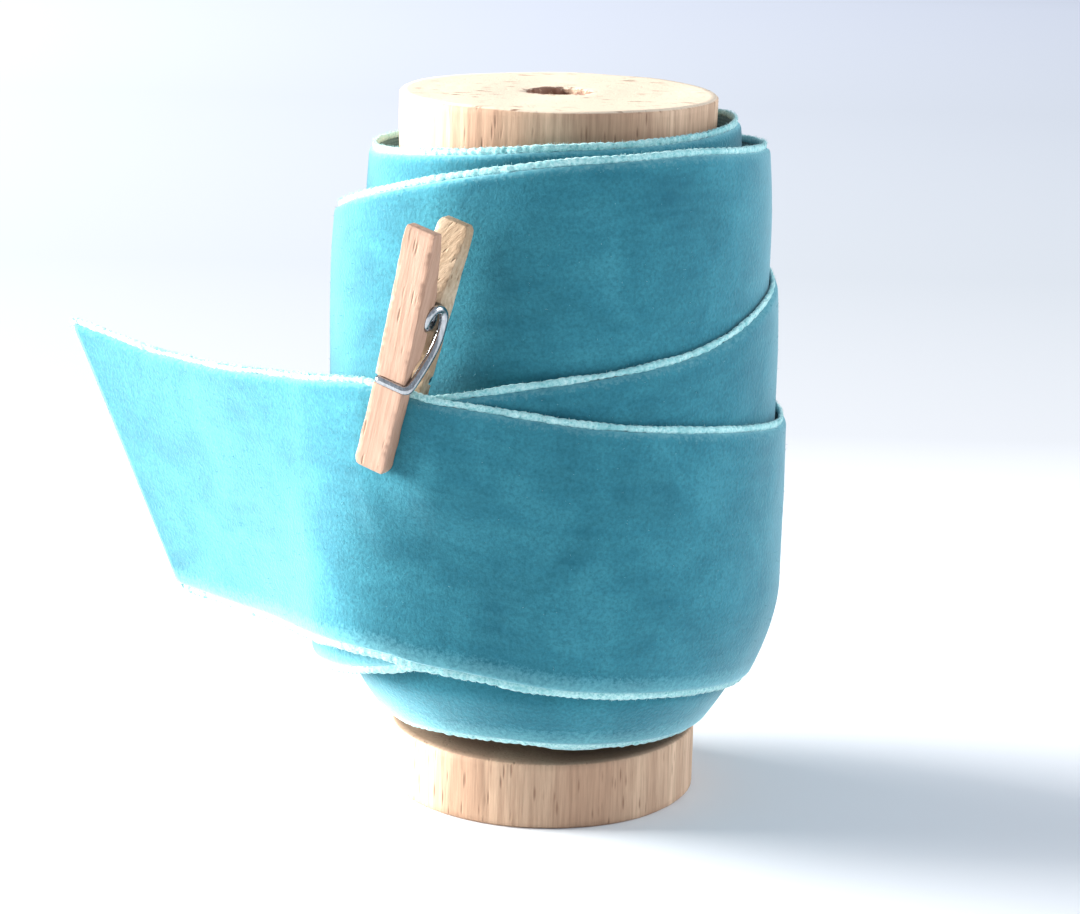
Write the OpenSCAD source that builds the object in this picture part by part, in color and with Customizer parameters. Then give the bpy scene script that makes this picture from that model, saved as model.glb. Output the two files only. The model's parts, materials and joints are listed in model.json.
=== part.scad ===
// Velvet ribbon on a turned wooden spool, its free end held by a small clothespin.
// The spool stands on its lower flange. Origin: centre of the base. +Z runs up the bore.
// Azimuths are counted from the front (-Y), positive towards +X.

/* [Spool] */
// Height of the spool over both flanges
spool_h = 74; // [70:0.5:90]
// Diameter of each flange
flange_d = 32.5; // [28:0.5:34]
// Thickness of each flange
flange_t = 7.1; // [5:0.1:7.1]
// Diameter of the turned-down barrel between the flanges
barrel_d = 14; // [10:0.5:14]
// Diameter of the spindle bore
bore_d = 5.7; // [4:0.1:7]
// Rounding on the flange rims
rim_round = 0.8; // [0.2:0.1:1.5]

/* [Ribbon] */
// Width of the ribbon
ribbon_w = 28.5; // [25:0.5:30]
// Thickness of the ribbon with its pile
ribbon_t = 0.9; // [0.6:0.05:0.9]
// Radius of the lower part of the winding
pack_r = 21.2; // [19:0.1:21.2]
// Radius of the winding inside the upper turns
pack_neck_r = 18; // [17:0.1:18]
// Height at which the winding steps in
pack_step_z = 38; // [30:0.5:38]
// Radius of the curl of the free end
curl_r = 130; // [100:5:160]
// Outward lean of the free end
tail_lean = 10; // [5:1:10]

/* [Clothespin] */
// Length of each leg
leg_l = 25.2; // [24:0.1:26]
// Width of each leg
leg_w = 3.4; // [3:0.1:3.6]
// Distance from the handle end to the coil
coil_from_end = 9; // [8.5:0.1:9.5]
// Azimuth at which the jaws grip the ribbon
clip_azimuth = -30; // [-31:0.5:-29]
// Lean of the clothespin in the plane of the ribbon
clip_lean = 14.5; // [12:0.5:15]
// Height of the coil above the base
coil_z = 55.5; // [55:0.1:56]
// Sideways offset of the coil
coil_side = 1.1; // [0.5:0.1:1.5]
// Diameter of the spring wire
wire_d = 0.9; // [0.7:0.05:0.9]
// Outer diameter of the spring coil
coil_d = 3; // [2.8:0.1:3]

/* [Hidden] */
$fn = 96;

beech = "#D9BC9C";
clip_beech = "#DEC5A6";
velvet = "#2F8F97";
velvet_end = "#58B9C1";
paper = "#E9DFC9";
steel = "#B9BEC2";

// Clearance between the winding and the flanges
side_gap = 0.2;
tape_t = 0.15;
tape_w = 18;
tape_angle = 100;

// Middle radius of the outer turns against azimuth, followed inwards from the clothespin:
// flat in the jaws, straight to the winding, once round, back through the jaws, then on.
turn_radius = [
    [-40, 28.55], [-34, 28.15], [-30, 28.1], [-24, 28.15], [-18, 26.7], [-12, 25.5],
    [-6, 24.8], [0, 24.45], [6, 24.35], [150, 24.35], [250, 24.3], [302, 24.5],
    [308, 25.1], [314, 26.3], [320, 27.5], [326, 27.18], [332, 27.12], [336, 27.15],
    [342, 25.6], [348, 24.4], [354, 23.6], [360, 23.2], [366, 23.1], [520, 23.05],
    [634, 22.7], [680, 21.9], [850, 21.85], [960, 20.0], [1000, 18.9], [1190, 18.7]
];
// Height of the top edge of the same turns
turn_top = [
    [-40, 48.5], [-24, 47.4], [-12, 46.4], [0, 45.4], [40, 43.6], [80, 41.2],
    [150, 41.0], [250, 43.2], [300, 44.6], [320, 46.2], [336, 47.5], [360, 48.9],
    [400, 51.2], [432, 54.7],
    [520, 58.5], [634, 62.2], [660, 65.1], [692, 68.3], [720, 70.2], [758, 70.9],
    [788, 70.0], [880, 67.6], [999, 68.4], [1078, 71.1], [1150, 71.9], [1190, 71.9]
];
turn_start = -40;
turn_end = 1190;
turn_step = 6;

// Height of the middle of the free end against its length from the jaws
tail_height = [
    [0, 34.25], [4, 33.75], [8, 33.1], [15, 32.4], [26, 31.35], [37, 30.9], [44, 31.4], [52, 32.1]
];
// Length that the free end lies on the turn below before it curls away
tail_lie = 9.5;
// Length of it that still stands upright beside the jaws
tail_flat = 1;
tail_top_l = 50.5;
tail_bottom_l = 37.8;
tail_steps = 28;

// Section of a leg, as distances from the middle plane and along the clothespin
jaw_gap = 2 * ribbon_t + 0.2;
jaw_inner = jaw_gap / 2;
leg_outer_end = 3.6;
leg_outer_mid = 2.6;
leg_end_z = coil_from_end;
leg_tip_z = coil_from_end - leg_l;
wire_z = -7;
wire_y = leg_outer_mid - 0.05;
wire_slack = 0.05;
jaw_top_z = -7.2;
line_notch_z = -5.6;
line_notch_r = 1.5;

coil_r = (coil_d - wire_d) / 2;
coil_half = leg_w / 2 + wire_d / 2 + wire_slack;
wire_sides = 8;
grip_r = 27.6;

function polar(r, a) = [r * sin(a), -r * cos(a)];
function unit(v) = v / norm(v);
function at_z(p, z) = [p[0], p[1], z];

// Point of the plan curve of the free end, at length s from the jaws
tail_turn_r = lookup(turn_start, turn_radius);
tail_leave = turn_start - tail_lie / tail_turn_r * 180 / PI;
tail_centre = polar(tail_turn_r + curl_r, tail_leave);
function tail_curl(s) = (s - tail_lie) / curl_r * 180 / PI;
function tail_point(s) = s < tail_lie
    ? polar(tail_turn_r, turn_start - s / tail_turn_r * 180 / PI)
    : tail_centre + polar(-curl_r, tail_leave + tail_curl(s));
function tail_out(s) = s < tail_lie
    ? polar(1, turn_start - s / tail_turn_r * 180 / PI)
    : polar(1, tail_leave + tail_curl(s));
function tail_tilt(s) = tail_lean * min(1, max(0, s - tail_flat) / (tail_lie - tail_flat));
function tail_edge(s, side) = at_z(tail_point(s), lookup(s, tail_height))
    + side * ribbon_w / 2 * (cos(tail_tilt(s)) * [0, 0, 1]
    + sin(tail_tilt(s)) * at_z(tail_out(s), 0));

// A strip is a list of stations: top edge, bottom edge and the direction of its thickness
function outer_station(a) = let (p = polar(lookup(a, turn_radius), a), top = lookup(a, turn_top))
    [at_z(p, top), at_z(p, top - ribbon_w), at_z(polar(1, a), 0)];
function tail_station(u) =
    [tail_edge(u * tail_top_l, 1), tail_edge(u * tail_bottom_l, -1),
     at_z(tail_out(u * (tail_top_l + tail_bottom_l) / 2), 0)];

function strip_corners(st, t) = [
    st[0] + st[2] * t / 2, st[0] - st[2] * t / 2,
    st[1] - st[2] * t / 2, st[1] + st[2] * t / 2
];
// Triangles that join ring i to ring i + 1, each ring having n points
function ring_faces(i, n) = [for (k = [0:n - 1]) let (m = (k + 1) % n)
    each [[i * n + k, i * n + m, (i + 1) * n + k], [i * n + m, (i + 1) * n + m, (i + 1) * n + k]]];
function tube_faces(rings, n) = concat(
    [[for (k = [n - 1:-1:0]) k]],
    [for (i = [0:rings - 2]) each ring_faces(i, n)],
    [[for (k = [0:n - 1]) (rings - 1) * n + k]]);

module strip(stations, t) {
    polyhedron(
        points = [for (st = stations) each strip_corners(st, t)],
        faces = tube_faces(len(stations), 4));
}

// Round wire along a route of [point, side direction]
function route_dir(route, i) =
    unit(route[min(i + 1, len(route) - 1)][0] - route[max(i - 1, 0)][0]);
function wire_ring(route, i, r) = let (u = route[i][1], v = cross(route_dir(route, i), u))
    [for (k = [0:wire_sides - 1]) route[i][0]
        + r * (cos(k * 360 / wire_sides) * u + sin(k * 360 / wire_sides) * v)];
module wire(route, r) {
    polyhedron(
        points = [for (i = [0:len(route) - 1]) each wire_ring(route, i, r)],
        faces = tube_faces(len(route), wire_sides));
}

// Puts clothespin parts in place: X across the legs, Y outwards, Z towards the handles
module clip_place() {
    rotate([0, 0, clip_azimuth])
    translate([coil_side, -grip_r, coil_z])
    rotate([0, clip_lean, 0])
    rotate([0, 0, 180])
    children();
}

// The turned spool is one piece of wood
module spool() {
    r = flange_d / 2;
    color(beech)
    difference() {
        union() {
            cylinder(d = barrel_d, h = spool_h);
            for (z = [0, spool_h - flange_t]) translate([0, 0, z]) flange(r);
        }
        translate([0, 0, -1]) cylinder(d = bore_d, h = spool_h + 2);
    }
}

module flange(r) {
    rotate_extrude()
    union() {
        square([r - rim_round, flange_t]);
        translate([0, rim_round]) square([r, flange_t - 2 * rim_round]);
        for (z = [rim_round, flange_t - rim_round])
            translate([r - rim_round, z]) circle(r = rim_round, $fn = 32);
    }
}

// Patch of paper tape that holds the inner end of the ribbon on the barrel
module start_tape() {
    color(paper)
    translate([0, 0, (spool_h - tape_w) / 2])
    rotate_extrude(angle = tape_angle)
    translate([barrel_d / 2, 0]) square([tape_t, tape_w]);
}

// All the inner turns, as one solid body of cloth
module ribbon_winding() {
    inner = barrel_d / 2 + tape_t + 0.05;
    low = flange_t + side_gap;
    high = spool_h - flange_t - side_gap;
    color(velvet)
    rotate_extrude()
    polygon([
        [inner, low], [15.8, low], [17.2, low + 1.6], [18.6, low + 3.3], [pack_r - 0.5, low + 5.8],
        [pack_r, low + 8.7], [pack_r, pack_step_z], [pack_neck_r, pack_step_z],
        [pack_neck_r, high], [inner, high]
    ]);
}

// The outer turns, from the jaws of the clothespin inwards
module ribbon_outer_turns() {
    color(velvet)
    strip([for (a = [turn_start:turn_step:turn_end]) outer_station(a)], ribbon_t);
}

// The free end, cut off at a slant
module ribbon_tail() {
    color(velvet_end)
    strip([for (i = [0:tail_steps]) tail_station(i / tail_steps)], ribbon_t);
}

// One leg, on the +Y side of the middle plane
module clip_leg() {
    difference() {
        rotate([90, 0, 90]) translate([0, 0, -leg_w / 2]) linear_extrude(leg_w)
        polygon([
            [2.3, leg_end_z], [leg_outer_end - 0.3, leg_end_z], [leg_outer_end, leg_end_z - 0.4],
            [leg_outer_mid, wire_z], [leg_outer_mid, leg_tip_z + 1.2],
            [leg_outer_mid - 0.3, leg_tip_z + 0.3], [leg_outer_mid - 0.7, leg_tip_z],
            [jaw_inner + 0.4, leg_tip_z], [jaw_inner + 0.1, leg_tip_z + 0.3],
            [jaw_inner, leg_tip_z + 1], [jaw_inner, jaw_top_z], [0.5, -2.2], [0.5, 2.2]
        ]);
        // seat of the coil, groove for the wire and notch inside the jaw
        rotate([0, 90, 0]) cylinder(d = coil_d + 2 * wire_slack, h = leg_w + 2, center = true);
        translate([0, wire_y, wire_z]) rotate([0, 90, 0])
            cylinder(d = wire_d + 2 * wire_slack, h = leg_w + 2, center = true);
        translate([0, 0, line_notch_z]) rotate([0, 90, 0])
            cylinder(r = line_notch_r, h = leg_w + 2, center = true);
    }
}

module clip_front_leg() {
    color(clip_beech) clip_place() clip_leg();
}

module clip_rear_leg() {
    color(clip_beech) clip_place() mirror([0, 1, 0]) clip_leg();
}

// Azimuth on the coil at which a straight arm leaves for the groove of a leg
arm_turn = acos(coil_r / norm([wire_y, wire_z])) + atan2(wire_z, wire_y);
coil_turns = 3;
coil_sweep = 180 - 2 * arm_turn + 360 * coil_turns;
coil_steps = 56;
arm_steps = 6;
bend_r = 0.55;
bend_steps = 4;
hook_end = leg_w / 2 - 0.3;

function coil_side_dir(a) = [0, cos(a), sin(a)];
// One arm: along the side of the leg, round the bend and across its outer face
function arm_route(mirrored) = let (
        s = mirrored ? -1 : 1,
        u = [0, s * cos(arm_turn), sin(arm_turn)],
        from = [-s * coil_half, coil_r * u[1], coil_r * u[2]],
        to = [-s * coil_half, s * wire_y, wire_z],
        dir = unit(to - from),
        across = [s, 0, 0],
        corner = to - bend_r * dir)
    concat(
        [for (i = [1:arm_steps]) [from + (corner - from) * i / arm_steps, u]],
        [for (i = [1:bend_steps]) let (b = 90 * i / bend_steps)
            [corner + bend_r * (sin(b) * dir + (1 - cos(b)) * across), u]],
        [[[s * hook_end, s * wire_y, wire_z], u]]);
function reversed(list) = [for (i = [len(list) - 1:-1:0]) list[i]];
coil_route = [for (i = [0:coil_steps]) let (
        a = arm_turn + coil_sweep * i / coil_steps,
        x = coil_half * (2 * i / coil_steps - 1))
    [[x, coil_r * cos(a), coil_r * sin(a)], coil_side_dir(a)]];

module clip_spring() {
    color(steel)
    clip_place()
    wire(concat(reversed(arm_route(false)), coil_route, arm_route(true)), wire_d / 2);
}

spool();
start_tape();
ribbon_winding();
ribbon_outer_turns();
ribbon_tail();
clip_rear_leg();
clip_front_leg();
clip_spring();
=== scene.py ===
"""Velvet ribbon on a turned wooden spool, its free end held by a small clothespin."""
import json
import math

import bpy
import numpy as np
from mathutils import Matrix, Vector


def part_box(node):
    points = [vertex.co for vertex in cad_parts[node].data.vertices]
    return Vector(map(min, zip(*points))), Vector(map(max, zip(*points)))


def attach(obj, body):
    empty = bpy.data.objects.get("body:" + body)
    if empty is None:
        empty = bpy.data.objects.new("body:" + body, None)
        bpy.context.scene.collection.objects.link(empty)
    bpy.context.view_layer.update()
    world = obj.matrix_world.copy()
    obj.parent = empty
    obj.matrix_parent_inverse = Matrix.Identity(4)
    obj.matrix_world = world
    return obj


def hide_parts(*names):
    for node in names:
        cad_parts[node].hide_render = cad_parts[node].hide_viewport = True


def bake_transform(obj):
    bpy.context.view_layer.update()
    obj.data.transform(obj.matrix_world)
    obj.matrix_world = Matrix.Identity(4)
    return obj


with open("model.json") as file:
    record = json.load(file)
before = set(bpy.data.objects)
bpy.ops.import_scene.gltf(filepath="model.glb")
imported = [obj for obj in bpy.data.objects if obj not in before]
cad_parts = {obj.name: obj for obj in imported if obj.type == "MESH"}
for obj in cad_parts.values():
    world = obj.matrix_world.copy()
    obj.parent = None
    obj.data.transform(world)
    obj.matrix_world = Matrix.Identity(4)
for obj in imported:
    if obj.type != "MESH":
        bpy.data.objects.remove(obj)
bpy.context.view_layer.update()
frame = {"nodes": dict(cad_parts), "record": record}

MM = 0.001


# ---------------------------------------------------------------- small helpers
def smoothstep(x):
    x = np.clip(x, 0.0, 1.0)
    return x * x * (3.0 - 2.0 * x)


def unit(v):
    return v / np.linalg.norm(v, axis=-1, keepdims=True)


def polar(radius, azimuth):
    """Plan point at an azimuth counted from the front, positive towards +X."""
    turn = np.radians(azimuth)
    return np.stack([radius * np.sin(turn), -radius * np.cos(turn)], -1)


def tube_faces(rows, columns, first=0):
    """Quads that join closed rings of points, and a cap on each end."""
    ring = np.arange(rows - 1)[:, None] * columns + first
    here = np.arange(columns)[None, :]
    after = (here + 1) % columns
    quads = np.stack([ring + here, ring + after, ring + columns + after, ring + columns + here], -1)
    last = first + (rows - 1) * columns
    caps = [list(range(first + columns - 1, first - 1, -1)), list(range(last, last + columns))]
    return quads.reshape(-1, 4).tolist() + caps


def add_mesh(name, points, faces, materials, indices=None, smooth=True):
    mesh = bpy.data.meshes.new(name)
    mesh.from_pydata(np.asarray(points).tolist(), [], faces)
    for material in materials:
        mesh.materials.append(material)
    if indices is not None:
        mesh.polygons.foreach_set("material_index", np.asarray(indices, np.int32))
    mesh.polygons.foreach_set("use_smooth", np.full(len(mesh.polygons), smooth))
    mesh.update()
    piece = bpy.data.objects.new(name, mesh)
    bpy.context.scene.collection.objects.link(piece)
    return piece


def curve_of(table, low, high, soft):
    """A smooth function through a table of (place, value), evaluated at any place."""
    step = 0.5
    places = np.arange(low - 60.0, high + 60.0 + step, step)
    values = np.interp(places, *zip(*table))
    reach = int(math.ceil(3 * soft / step))
    weight = np.exp(-0.5 * (np.arange(-reach, reach + 1) * step / soft) ** 2)
    padded = np.pad(values, reach, mode="edge")
    values = np.convolve(padded, weight / weight.sum(), mode="valid")
    return lambda x: np.interp(x, places, values)


def waves(*coordinates, seed, count=9, low=1.0, high=6.0):
    """Smooth seeded ripple between about -1 and 1, made of a few sine waves."""
    draw = np.random.default_rng(seed)
    total = 0.0
    for _ in range(count):
        direction = draw.normal(size=len(coordinates))
        direction *= draw.uniform(low, high) / np.linalg.norm(direction)
        phase = draw.uniform(0, 2 * math.pi)
        total = total + np.sin(sum(d * c for d, c in zip(direction, coordinates)) + phase)
    return total / math.sqrt(count)


# ---------------------------------------------------------------- materials
class Nodes:
    """Short names for building a node material."""

    def __init__(self, name):
        self.material = bpy.data.materials.new(name)
        self.material.use_nodes = True
        self.tree = self.material.node_tree
        self.shader = self.tree.nodes["Principled BSDF"]
        self.place = self.add("ShaderNodeTexCoord").outputs["Object"]

    def add(self, kind, inputs=None, **settings):
        node = self.tree.nodes.new(kind)
        for key, value in settings.items():
            setattr(node, key, value)
        for key, value in (inputs or {}).items():
            self.feed(node.inputs[key], value)
        return node

    def feed(self, socket, value):
        if isinstance(value, bpy.types.NodeSocket):
            self.tree.links.new(value, socket)
        else:
            socket.default_value = value

    def scaled(self, scale, source=None):
        source = self.place if source is None else source
        return self.add("ShaderNodeMapping", {"Vector": source, "Scale": scale}).outputs["Vector"]

    def noise(self, scale, detail=3.0, rough=0.5, source=None, distort=0.0):
        source = self.place if source is None else source
        node = self.add("ShaderNodeTexNoise", {
            "Vector": source, "Scale": scale, "Detail": detail, "Roughness": rough,
            "Distortion": distort})
        return node.outputs["Fac"]

    def ramp(self, factor, *stops):
        node = self.add("ShaderNodeValToRGB", {"Fac": factor})
        ramp = node.color_ramp
        while len(ramp.elements) < len(stops):
            ramp.elements.new(0.5)
        for element, (place, colour) in zip(ramp.elements, stops):
            element.position = place
            element.color = (*colour, 1.0) if len(colour) == 3 else colour
        return node.outputs["Color"]

    def levels(self, factor, low, high, to_low=0.0, to_high=1.0):
        return self.add("ShaderNodeMapRange", {
            "Value": factor, "From Min": low, "From Max": high,
            "To Min": to_low, "To Max": to_high}).outputs["Result"]

    def math(self, operation, a, b=0.5):
        node = self.add("ShaderNodeMath", operation=operation)
        self.feed(node.inputs[0], a)
        self.feed(node.inputs[1], b)
        return node.outputs["Value"]

    def mix(self, factor, a, b, blend="MIX"):
        node = self.add("ShaderNodeMix", data_type="RGBA", blend_type=blend)
        self.feed(node.inputs["Factor"], factor)
        for socket, value in ((node.inputs[6], a), (node.inputs[7], b)):
            self.feed(socket, value if isinstance(value, bpy.types.NodeSocket) else (*value, 1.0))
        return node.outputs[2]

    def bump(self, height, strength, distance, under=None):
        node = self.add("ShaderNodeBump", {
            "Height": height, "Strength": strength, "Distance": distance})
        if under is not None:
            self.tree.links.new(under, node.inputs["Normal"])
        return node.outputs["Normal"]

    def finish(self, **inputs):
        for key, value in inputs.items():
            self.feed(self.shader.inputs[key.replace("_", " ")], value)
        return self.material


def velvet_pile():
    """Short dyed pile: brushed patches, fine tufts and a pale sheen at a glancing look."""
    n = Nodes("velvet_pile")
    rows = n.add("ShaderNodeUVMap", uv_map="ribbon").outputs["UV"]
    patches = n.noise(120.0, 4.0, 0.6, distort=0.6)
    streaks = n.noise(1.0, 3.0, 0.6, source=n.scaled((160.0, 700.0, 1.0), rows))
    tufts = n.noise(2600.0, 2.0, 0.7)
    colour = n.ramp(patches, (0.30, (0.019, 0.143, 0.200)), (0.52, (0.032, 0.205, 0.272)),
                    (0.74, (0.056, 0.285, 0.362)))
    colour = n.mix(n.levels(streaks, 0.35, 0.7, 0.0, 0.30), colour, (0.065, 0.320, 0.380))
    colour = n.mix(n.levels(tufts, 0.35, 0.75, 0.0, 0.55), colour, (0.012, 0.095, 0.130))
    # towards the edges, most at the lower one, the pile is thinner and the pale ground shows
    edge = n.add("ShaderNodeSeparateXYZ", {"Vector": rows}).outputs["Y"]
    ragged = n.math("ADD", edge, n.levels(tufts, 0.3, 0.7, -0.5 * MM, 0.5 * MM))
    lower = n.levels(ragged, -13.9 * MM, -11.4 * MM, 0.62, 0.0)
    upper = n.levels(ragged, 12.9 * MM, 13.9 * MM, 0.0, 0.45)
    colour = n.mix(n.math("ADD", lower, upper), colour, (0.230, 0.560, 0.620))
    soft = n.bump(patches, 0.22, 0.4 * MM)
    relief = n.bump(tufts, 0.5, 0.12 * MM, soft)
    return n.finish(Base_Color=colour, Roughness=0.92, Normal=relief, Specular_IOR_Level=0.15,
                    Sheen_Weight=1.0, Sheen_Roughness=0.40, Sheen_Tint=(0.62, 0.93, 1.0, 1.0))


def velvet_back():
    """Woven back of the ribbon, greyer than the pile."""
    n = Nodes("velvet_back")
    rows = n.add("ShaderNodeUVMap", uv_map="ribbon").outputs["UV"]
    warp = n.add("ShaderNodeTexWave", {
        "Vector": n.scaled((0.0, 900.0, 1.0), rows), "Scale": 1.0}, bands_direction="Y")
    weft = n.add("ShaderNodeTexWave", {
        "Vector": n.scaled((700.0, 0.0, 1.0), rows), "Scale": 1.0}, bands_direction="X")
    cloth = n.math("MULTIPLY", warp.outputs["Fac"], weft.outputs["Fac"])
    colour = n.mix(cloth, (0.045, 0.125, 0.135), (0.110, 0.230, 0.240))
    colour = n.mix(n.levels(n.noise(400.0), 0.4, 0.7, 0.0, 0.4), colour, (0.070, 0.160, 0.165))
    return n.finish(Base_Color=colour, Roughness=0.85, Normal=n.bump(cloth, 0.6, 0.08 * MM),
                    Specular_IOR_Level=0.2, Sheen_Weight=0.25, Sheen_Roughness=0.5)


def selvedge_yarn():
    """Pale looped yarn along both edges."""
    n = Nodes("selvedge_yarn")
    fibres = n.noise(3200.0, 3.0, 0.7)
    patches = n.noise(260.0, 2.0)
    colour = n.ramp(fibres, (0.30, (0.180, 0.520, 0.540)), (0.55, (0.480, 0.790, 0.790)),
                    (0.78, (0.740, 0.930, 0.900)))
    colour = n.mix(n.levels(patches, 0.45, 0.75, 0.0, 0.6), colour, (0.150, 0.470, 0.500))
    return n.finish(Base_Color=colour, Roughness=0.9, Normal=n.bump(fibres, 0.8, 0.1 * MM),
                    Specular_IOR_Level=0.2, Sheen_Weight=0.5, Sheen_Roughness=0.4)


def drilled_ends(n, colour, fleck, bore):
    """The spool's level faces: checked and painted paler on top as painted light, painted shade on
    the flange's inner face, and a bore darker from torn fibres and painted shade.
    """
    facing = n.add("ShaderNodeSeparateXYZ", {
        "Vector": n.add("ShaderNodeNewGeometry").outputs["Normal"]}).outputs["Z"]
    up_face = n.levels(facing, 0.6, 0.8)
    height = n.add("ShaderNodeSeparateXYZ", {"Vector": n.place}).outputs["Z"]
    at_top = n.levels(height, 60.0 * MM, 65.0 * MM)
    on_end = n.math("MULTIPLY", up_face, at_top)
    # painted shade: upward faces below the top end, the flange's inner face under the ribbon, are
    # darkened
    inside = n.math("MULTIPLY", up_face, n.math("SUBTRACT", 1.0, at_top))
    colour = n.mix(n.math("MULTIPLY", inside, 0.65), colour, (0.210, 0.145, 0.100))
    checks = n.levels(n.noise(1.0, 2.0, 0.6, source=n.scaled((330.0, 1500.0, 1.0))), 0.60, 0.66)
    checks = n.math("MULTIPLY", checks, n.levels(n.noise(160.0, 2.0), 0.50, 0.58))
    # painted light: the upward top end is mixed towards a pale cream in place of the strong light
    # falling on it; the checks below are real
    colour = n.mix(n.math("MULTIPLY", on_end, 0.6), colour, (0.86, 0.76, 0.60))
    colour = n.mix(n.math("MULTIPLY", checks, on_end), colour, fleck)
    # darker reddish brown round and down the bore: torn fibres at the mouth, and painted shade on
    # the bore's wall
    from_axis = n.add("ShaderNodeVectorMath", {"Vector": n.scaled((1.0, 1.0, 0.0))},
                      operation="LENGTH")
    ragged = n.levels(n.noise(1100.0, 3.0, 0.7), 0.3, 0.7, -0.9 * MM, 0.9 * MM)
    distance = n.math("ADD", from_axis.outputs["Value"], ragged)
    torn = n.levels(distance, bore + 0.1 * MM, bore + 0.7 * MM, 1.0, 0.0)
    return n.mix(n.math("MULTIPLY", torn, 0.85), colour, (0.210, 0.085, 0.050))


def beech(name, light, dark, fleck, ring_width=2.2 * MM, bite=0.35, slant=0.0, bore=0.0):
    """Beech with its grain along Z, or slanted: soft rings, fibre streaks and dark ray flecks."""
    n = Nodes(name)
    if slant:
        n.place = n.add("ShaderNodeMapping", {
            "Vector": n.place, "Rotation": (0.0, math.radians(slant), 0.0)}).outputs["Vector"]
    rings = n.add("ShaderNodeTexWave", {
        "Vector": n.scaled((1.0, 0.35, 0.02)), "Scale": 0.5 / ring_width / 10.0,
        "Distortion": 5.0, "Detail": 3.0, "Detail Scale": 1.2}, bands_direction="X").outputs["Fac"]
    fibre = n.noise(1.0, 4.0, 0.65, source=n.scaled((2600.0, 2600.0, 130.0)))
    broad = n.noise(1.0, 3.0, 0.6, source=n.scaled((330.0, 330.0, 9.0)))
    rays = n.add("ShaderNodeTexVoronoi", {
        "Vector": n.scaled((1900.0, 1900.0, 300.0)), "Scale": 1.0, "Randomness": 1.0})
    ray_mark = n.levels(rays.outputs["Distance"], 0.10, 0.30, 1.0, 0.0)
    chosen = n.levels(n.noise(1.0, 2.0, source=n.scaled((900.0, 900.0, 220.0))), 0.46, 0.56)
    ray_mark = n.math("MULTIPLY", ray_mark, chosen)
    colour = n.mix(n.levels(rings, 0.2, 0.9), light, dark)
    colour = n.mix(n.levels(broad, 0.35, 0.65, 0.0, 0.75), colour, dark)
    colour = n.mix(n.levels(fibre, 0.40, 0.72, 0.0, 0.55), colour, fleck)
    colour = n.mix(n.math("MULTIPLY", ray_mark, 0.75), colour, fleck)
    grain = n.bump(fibre, bite, 0.10 * MM)
    relief = n.bump(ray_mark, bite, -0.12 * MM, grain)
    if bore:
        colour = drilled_ends(n, colour, fleck, bore)
    return n.finish(Base_Color=colour, Roughness=0.68, Normal=relief, Specular_IOR_Level=0.3)


def drawn_steel():
    """Bright wire with fine drawing lines."""
    n = Nodes("drawn_steel")
    lines = n.noise(1.0, 3.0, 0.6, source=n.scaled((5200.0, 5200.0, 900.0)))
    # painted reflection: the steel's grey is kept dark in place of dark surroundings the wire would
    # reflect; the lines are real drawing marks
    colour = n.ramp(lines, (0.3, (0.34, 0.36, 0.38)), (0.7, (0.56, 0.58, 0.60)))
    roughness = n.levels(lines, 0.3, 0.7, 0.12, 0.28)
    return n.finish(Base_Color=colour, Metallic=1.0, Roughness=roughness,
                    Normal=n.bump(lines, 0.25, 0.02 * MM))


def crepe_tape():
    """Creased paper tape that holds the ribbon's inner end."""
    n = Nodes("crepe_tape")
    creases = n.noise(1.0, 3.0, 0.6, source=n.scaled((500.0, 500.0, 2600.0)))
    colour = n.ramp(creases, (0.3, (0.62, 0.55, 0.41)), (0.7, (0.80, 0.74, 0.60)))
    return n.finish(Base_Color=colour, Roughness=0.8, Normal=n.bump(creases, 0.5, 0.05 * MM))


# ---------------------------------------------------------------- the spool
BARREL = 7.0 * MM
RIM_EDGE = 0.28 * MM
SPOOL_SPACING = 0.55 * MM
SPOOL_AROUND = 320


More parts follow.
